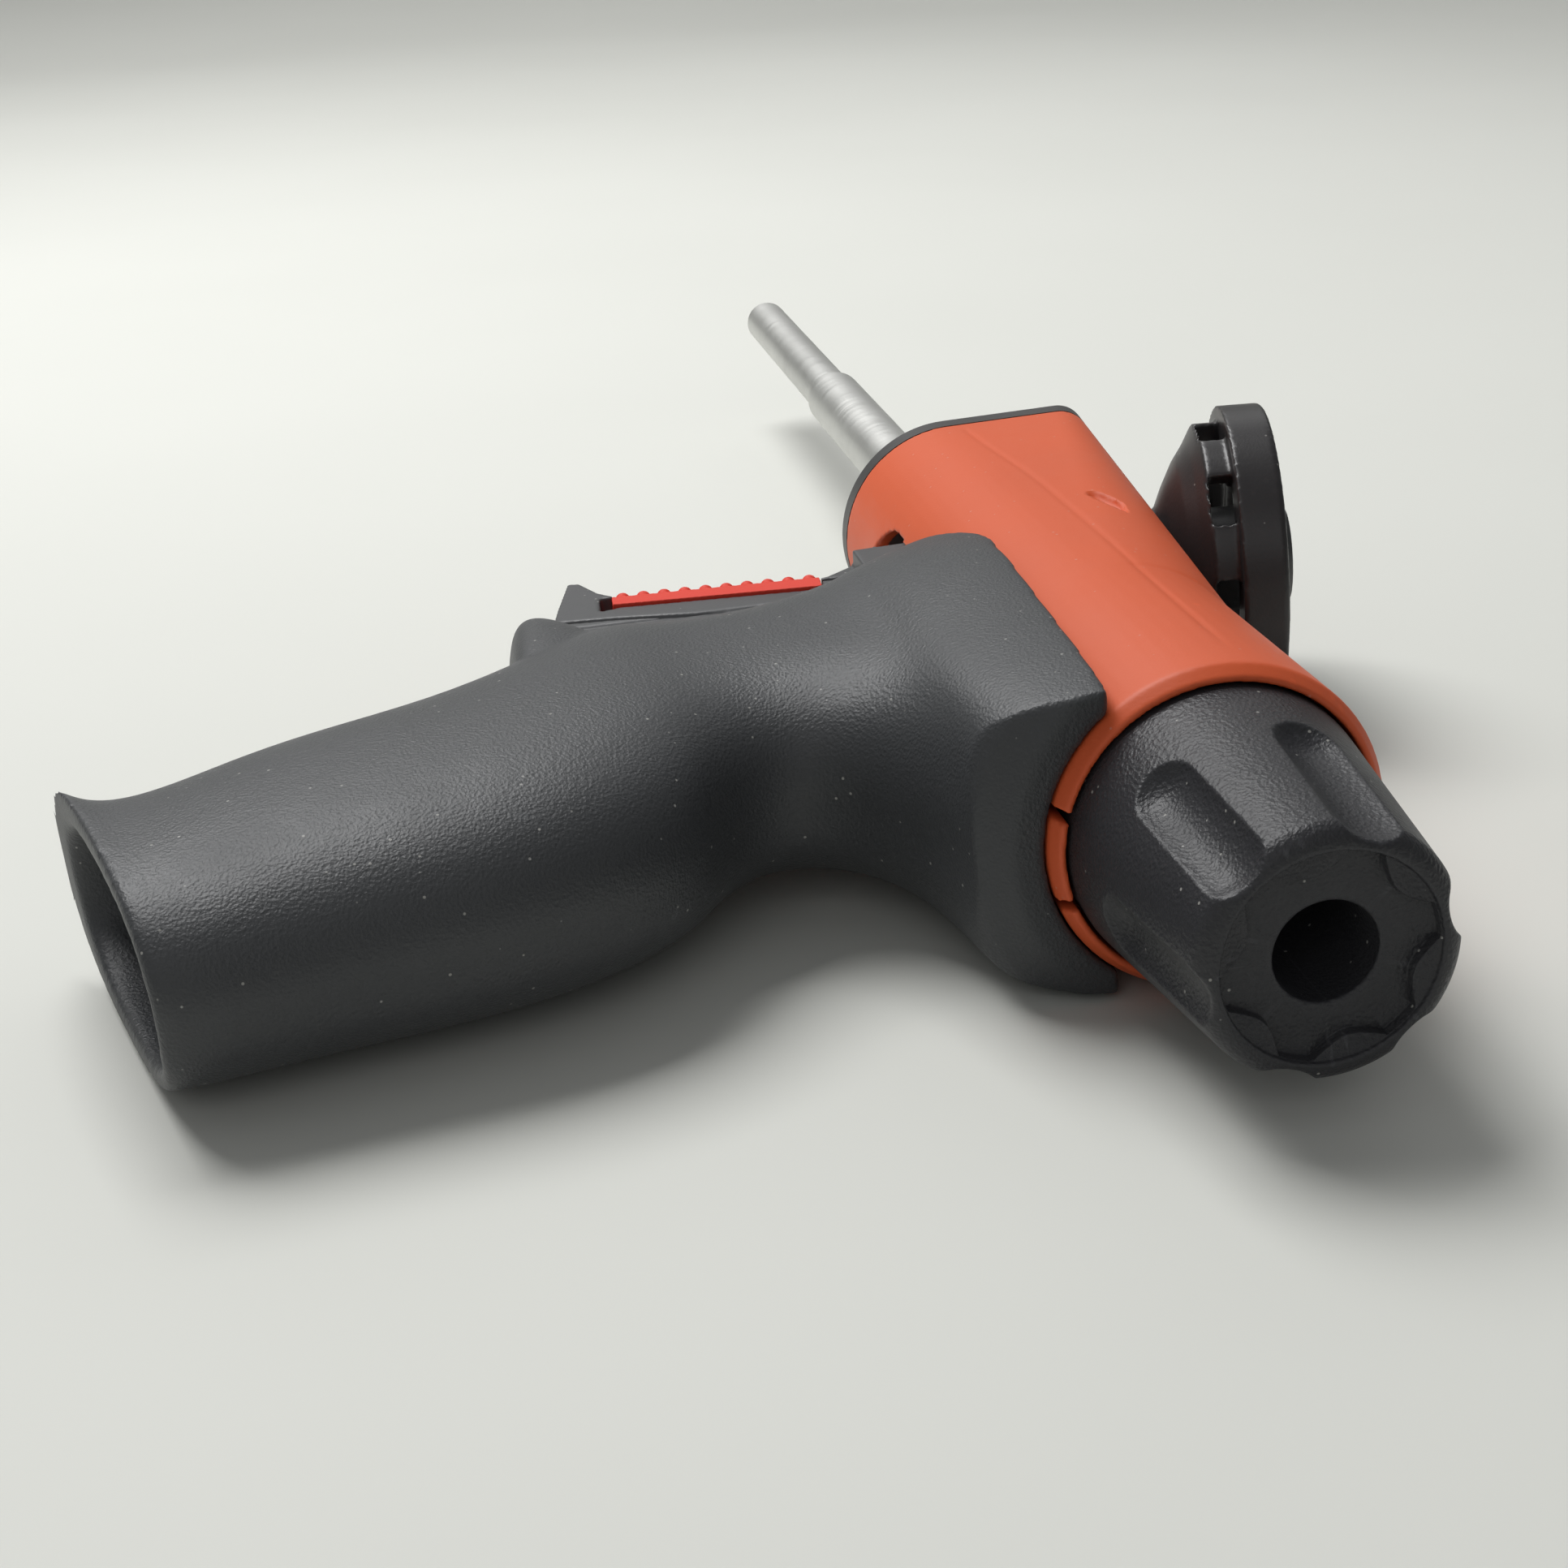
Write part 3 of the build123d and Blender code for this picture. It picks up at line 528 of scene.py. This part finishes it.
def inner_rows(theta):
    """Stations and radii down the recess and bore, and back round the hub.

    Offsets of less than half a millimetre break the sharp edges.
    """
    ones = np.ones_like(theta)
    lens = lens_radius(theta)
    ledge = np.full_like(theta, RECESS_EDGE - 0.2)
    rows = [(0.15, ledge + 0.05), (LENS_DEPTH - 0.1, ledge), (LENS_DEPTH, ledge - 0.1)]
    rows += [(LENS_DEPTH, lens + 0.12), (LENS_DEPTH + 0.1, lens)]
    rows += [(RECESS_DEPTH - 0.15, lens - 0.05), (RECESS_DEPTH, lens - 0.2)]
    rows += [(RECESS_DEPTH, r * ones) for r in (10.0, 8.0, KNOB_BORE + 0.35)]
    rows += [(RECESS_DEPTH + 0.12, (KNOB_BORE + 0.1) * ones), (RECESS_DEPTH + 0.4, KNOB_BORE * ones)]
    rows += [(KNOB_BORE_DEPTH - 0.2, KNOB_BORE * ones), (KNOB_BORE_DEPTH, (KNOB_BORE - 0.2) * ones)]
    rows += [(KNOB_BORE_DEPTH, SCREW_HOLE * ones), (HUB_FRONT, SCREW_HOLE * ones)]
    rows += [(HUB_FRONT, HUB_RADIUS * ones), (HUB_REAR, HUB_RADIUS * ones)]
    rows.append((HUB_REAR, SHELL_INNER * ones))
    return rows


def ring_mesh(name, rows, theta):
    """Surface through rows of radii round the barrel axis, closed from the last to the first."""
    vertices = []
    for s, radius in rows:
        for angle, r in zip(theta, radius):
            vertices.append(at(s, -r * math.sin(angle), r * math.cos(angle)))
    faces = []
    columns = len(theta)
    for i in range(len(rows)):
        a = i * columns
        b = ((i + 1) % len(rows)) * columns
        for j in range(columns):
            k = (j + 1) % columns
            faces.append((a + j, b + j, b + k, a + k))
    return new_object(name, vertices, faces)


def make_knob():
    """Fluted knob: rows of points round the axis, from the skirt over the rim into the bore."""
    theta = np.linspace(0, 2 * math.pi, KNOB_COLUMNS, endpoint=False)
    obj = ring_mesh("knob_body", outer_rows(theta) + inner_rows(theta), theta)
    fix_normals(obj)
    sharpen_normals(obj, KNOB_CREASE)
    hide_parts("knob")
    return obj


# ---------------------------------------------------------------- moulded shells
def make_grip():
    """Grip with soft edges, softer still at the butt's lip."""
    obj = softened("grip_shell", "grip", *GRIP_MESH)
    s, y, _ = coordinates(obj)
    lean = math.radians(BUTT_TILT)
    along = (BUTT_STATION - s) * math.sin(lean) - (y - BUTT_HEIGHT) * math.cos(lean)
    soften_where(obj, along > -BUTT_LIP, BUTT_PASSES)
    return obj


def make_housing():
    """Housing with a fine parting line and an oval dimple on each side."""
    obj = softened("housing_shell", "housing_sleeve", *HOUSING_MESH)
    s, y, z = coordinates(obj)
    half_width = np.interp(s, HALF_WIDTH_STATIONS, HALF_WIDTHS)
    outside = np.abs(z) > half_width - OUTER_SKIN
    line = PARTING_HEIGHT - PARTING_DROP * smoothstep(*PARTING_FALL, s)
    ends = smoothstep(*PARTING_REAR, s) * (1 - smoothstep(*PARTING_FRONT, s))
    depth = PARTING_DEPTH * ends * np.exp(-(((y - line) / PARTING_WIDTH) ** 2))
    turn = math.radians(DIMPLE_ANGLE)
    s0, y0 = DIMPLE_MIDDLE
    u = (s0 - s) * math.cos(turn) + (y - y0) * math.sin(turn)
    v = (s - s0) * math.sin(turn) + (y - y0) * math.cos(turn)
    oval = (u / DIMPLE_SIZE[0]) ** 2 + (v / DIMPLE_SIZE[1]) ** 2
    depth += DIMPLE_DEPTH * np.sqrt(np.clip(1 - oval, 0.0, 1.0))
    place(obj, s, y, z - np.sign(z) * depth * outside)
    return obj


def make_lever():
    """Trigger with open slots at both ends of its pad and a round mark on each side."""
    gap = GAP_LINE + [(s + GAP_WIDTH, y) for s, y in reversed(GAP_LINE)]
    slots = ((LOWER_SLOT, LOWER_SLOT_FLOOR), (UPPER_SLOT, UPPER_SLOT_FLOOR), (gap, GAP_FLOOR))
    cutters = []
    for outline, floor in slots:
        cutters.append(prism(outline, floor, CUTTER_REACH))
        cutters.append(prism(outline, -CUTTER_REACH, -floor))
    obj = softened("trigger_blade", "trigger_lever", *LEVER_MESH, cutters)
    s, y, z = coordinates(obj)
    s0, y0 = MARK_MIDDLE
    distance = np.hypot(s - s0, y - y0)
    depth = MARK_DEPTH * (1 - smoothstep(MARK_RADIUS - MARK_EDGE, MARK_RADIUS, distance))
    place(obj, s, y, z - np.sign(z) * depth * (np.abs(z) > LEVER_FACE))
    return obj


def nub_centres():
    """Two stacked centres for every nub, set out from the pad's front face."""
    (s0, y0), (s1, y1) = PAD_BASE[1:3]
    length = math.hypot(s1 - s0, y1 - y0)
    outward = ((y0 - y1) / length, (s1 - s0) / length)
    centres = []
    for row in range(NUB_ROWS):
        t = (row + 0.5) / NUB_ROWS
        for z in NUB_COLUMNS:
            for rise in NUB_RISES:
                s = s0 + (s1 - s0) * t + outward[0] * rise
                y = y0 + (y1 - y0) * t + outward[1] * rise
                centres.append(at(s, y, z))
    return centres


def make_pad():
    """Soft pad with rows of round-topped nubs."""
    base = prism(PAD_BASE, -PAD_HALF_WIDTH, PAD_HALF_WIDTH)
    core = prism(PAD_CORE, -PAD_CORE_HALF_WIDTH, PAD_CORE_HALF_WIDTH)
    add_cut(base, core)
    freeze(base)
    bpy.data.objects.remove(core)
    bm = bmesh.new()
    bm.from_mesh(base.data)
    for centre in nub_centres():
        spot = Matrix.Translation(centre)
        bmesh.ops.create_uvsphere(bm, u_segments=20, v_segments=12, radius=NUB_RADIUS * MM, matrix=spot)
    bm.to_mesh(base.data)
    bm.free()
    base.name = "finger_pad"
    voxel, passes = PAD_MESH
    add_remesh(base, voxel)
    add_smooth(base, passes)
    freeze(base)
    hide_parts("trigger_pad")
    return base


# ---------------------------------------------------------------- scene
def make_floor():
    """Pale, slightly sloping sheet under the gun that sweeps up far beyond the nozzle."""
    centre = at(FLOOR_MIDDLE, 0)
    vertices = []
    for ahead, rise in FLOOR_PROFILE:
        for side in (-FLOOR_HALF_WIDTH, FLOOR_HALF_WIDTH):
            x = centre.x - ahead
            y = centre.y + side
            drop = FLOOR_DROP * MM + FLOOR_SLOPE_X * (x - REAR_X) + FLOOR_SLOPE_Y * (y - AXIS_Y)
            vertices.append((x, y, AXIS_Z + drop + rise))
    faces = [(2 * i, 2 * i + 1, 2 * i + 3, 2 * i + 2) for i in range(len(FLOOR_PROFILE) - 1)]
    floor = new_object("floor", vertices, faces)
    sh = Shader("floor_paper")
    tone = sh.remap(sh.noise(3.0, 3.0), 0.3, 0.7, 0.0, 1.0)
    sh.join(sh.mix(tone, *FLOOR_COLOURS), sh.principled.inputs["Base Color"])
    sh.set("Roughness", 0.6)
    sh.set("Specular IOR Level", 0.25)
    paint(floor, sh.material)


def area_light(name, place_at, target, size, power):
    """White rectangular light that faces its target."""
    lamp = bpy.data.lights.new(name, "AREA")
    lamp.shape = "RECTANGLE"
    lamp.size, lamp.size_y = size
    lamp.energy = power
    obj = link(bpy.data.objects.new(name, lamp))
    obj.location = place_at
    obj.rotation_euler = (target - place_at).to_track_quat("-Z", "Y").to_euler()


def make_lights():
    """Key light over the barrel, a wash on the far floor, a weak fill, and a dim sky."""
    middle = at(LIGHT_MIDDLE, 0)
    for name, place_at, aim, size, power in LIGHTS:
        area_light(name, middle + Vector(place_at), middle + Vector(aim), size, power)
    world = bpy.data.worlds.new("studio")
    bpy.context.scene.world = world
    world.use_nodes = True
    background = world.node_tree.nodes["Background"]
    background.inputs["Color"].default_value = (*WORLD_COLOUR, 1.0)
    background.inputs["Strength"].default_value = WORLD_STRENGTH


def make_camera():
    """Camera at the photograph's viewpoint."""
    camera = bpy.data.cameras.new("camera")
    camera.lens = CAMERA_LENS
    camera.sensor_width = CAMERA_SENSOR
    camera.clip_start, camera.clip_end = CAMERA_CLIP_METRES
    obj = link(bpy.data.objects.new("camera", camera))
    obj.location = at(*CAMERA_PLACE)
    obj.rotation_euler = Euler([math.radians(a) for a in CAMERA_ANGLES], "XYZ")
    bpy.context.scene.camera = obj
    bpy.context.scene.view_settings.view_transform = "Standard"


def main():
    """Build every piece and the scene round it."""
    materials = make_materials()
    slots = {part["node"]: part["material_slot"] for part in frame["record"]["subparts"]}
    pieces = {
        "knob": (make_knob(), "knob"),
        "grip": (make_grip(), "body"),
        "housing_sleeve": (make_housing(), "body"),
        "can_adapter": (softened("basket", "can_adapter", *ADAPTER_MESH), "body"),
        "trigger_lever": (make_lever(), "trigger"),
        "trigger_pad": (make_pad(), "trigger"),
    }
    for node, (obj, body) in pieces.items():
        paint(obj, materials[slots[node]])
        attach(obj, body)
    for node, obj in NODES.items():
        if node not in pieces:
            paint(obj, materials[slots[node]])
    make_floor()
    make_lights()
    make_camera()


main()
